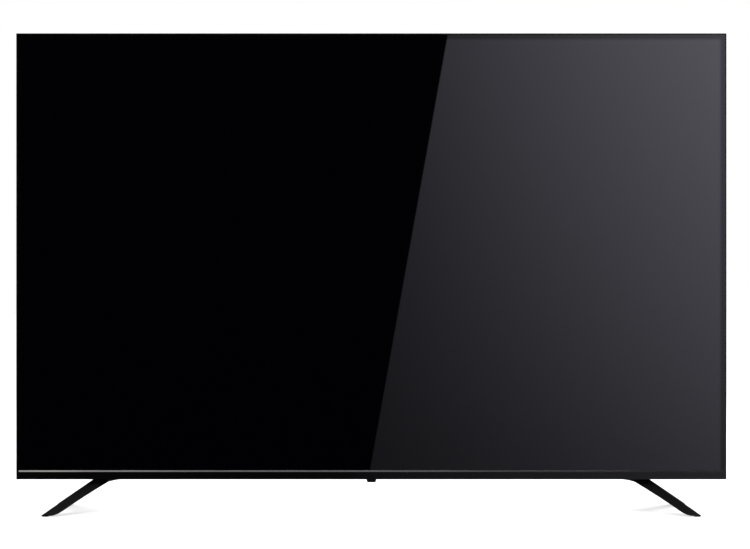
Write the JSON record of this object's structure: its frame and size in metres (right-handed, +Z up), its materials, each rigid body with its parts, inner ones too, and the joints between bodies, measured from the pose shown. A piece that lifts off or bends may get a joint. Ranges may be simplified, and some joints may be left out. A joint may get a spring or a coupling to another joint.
{
  "type": "flat screen television",
  "caption": "Wide flat-screen television with a thin dark frame, bright lower trim strip, rear cover with connector bays and splayed black legs; for viewing pictures and video.",
  "frame": {"origin": "on the floor under the middle of the set, midway between the four feet", "axes": "+Z up, +X to the viewer's right along the width, screen facing -Y, back facing +Y"},
  "size_m": [1.43, 0.286, 0.964],
  "materials": {
    "screen_glass": "glossy black liquid crystal panel",
    "frame_black": "thin satin black frame rails",
    "bezel_black": "smooth dark bezel",
    "trim_metal": "bright drawn trim strip",
    "back_plastic": "fine-grained black moulding",
    "leg_black": "satin black moulding",
    "foot_rubber": "soft black rubber",
    "tray_steel": "pressed galvanised sheet",
    "film_white": "milky optical plastic",
    "lens_clear": "clear lens",
    "led_board": "white printed light bar",
    "circuit_green": "printed circuit board",
    "circuit_tan": "single-sided circuit board",
    "chip_black": "moulded chip packages",
    "sink_metal": "extruded aluminium",
    "can_blue": "sleeved capacitor cans",
    "core_brown": "ferrite core with a taped winding",
    "flex_amber": "thin amber flexible film",
    "lead_pale": "pale sleeved leads, ribbons and plugs",
    "shell_metal": "plated connector shells and pins",
    "socket_black": "black connector body",
    "fastener_dark": "blackened screws",
    "fastener_zinc": "zinc plated screws, posts and bushes",
    "speaker_black": "black speaker box",
    "foam_grey": "soft foam",
    "window_dark": "dark infrared window"
  },
  "bodies": {
    "set": {"lcd_panel": "screen_glass", "panel_tape": "foam_grey", "mid_frame": "chip_black", "optical_films": "film_white", "diffuser_plate": "film_white", "diffuser_supports": "film_white", "reflector_sheet": "film_white", "led_bars": "led_board", "led_lenses": "lens_clear", "rear_tray": "tray_steel", "top_rail": "frame_black", "left_rail": "frame_black", "right_rail": "frame_black", "corner_keys": "tray_steel", "bottom_bezel": "bezel_black", "trim_strip": "trim_metal", "back_panel": "back_plastic", "rear_cover": "back_plastic", "cover_posts": "fastener_zinc", "back_screws": "fastener_dark", "vesa_bushes": "fastener_zinc", "main_board": "circuit_green", "power_board": "circuit_tan", "tcon_board": "circuit_green", "board_chips": "chip_black", "heat_sinks": "sink_metal", "power_capacitors": "can_blue", "power_transformers": "core_brown", "insulation_sheet": "film_white", "source_boards": "circuit_green", "chip_films": "flex_amber", "tcon_ribbons": "lead_pale", "wifi_module": "circuit_green", "board_standoffs": "fastener_zinc", "chassis_screws": "fastener_zinc", "hdmi_sockets": "shell_metal", "usb_sockets": "shell_metal", "socket_tongues": "socket_black", "lan_socket": "shell_metal", "optical_socket": "socket_black", "antenna_socket": "shell_metal", "audio_jacks": "socket_black", "ac_inlet": "socket_black", "inlet_pins": "shell_metal", "speaker_boxes": "speaker_black", "speaker_drivers": "chip_black", "speaker_rings": "foam_grey", "control_pod": "bezel_black", "control_board": "circuit_green", "ir_window": "window_dark", "tact_switch": "shell_metal", "left_leg": "leg_black", "right_leg": "leg_black", "foot_pads": "foot_rubber", "leg_screws": "fastener_dark", "stand_brackets": "tray_steel", "lead_plugs": "lead_pale", "internal_leads": "lead_pale"},
    "power_button": {"power_button": "bezel_black", "switch_plunger": "chip_black"}
  },
  "joints": [
    {"name": "power_press", "type": "slide", "parent": "set", "child": "power_button", "axis": [0, 0, 1], "range_m": [0, 0.0005], "stiffness_N_per_m": 400, "springref_m": -0.002}
  ]
}
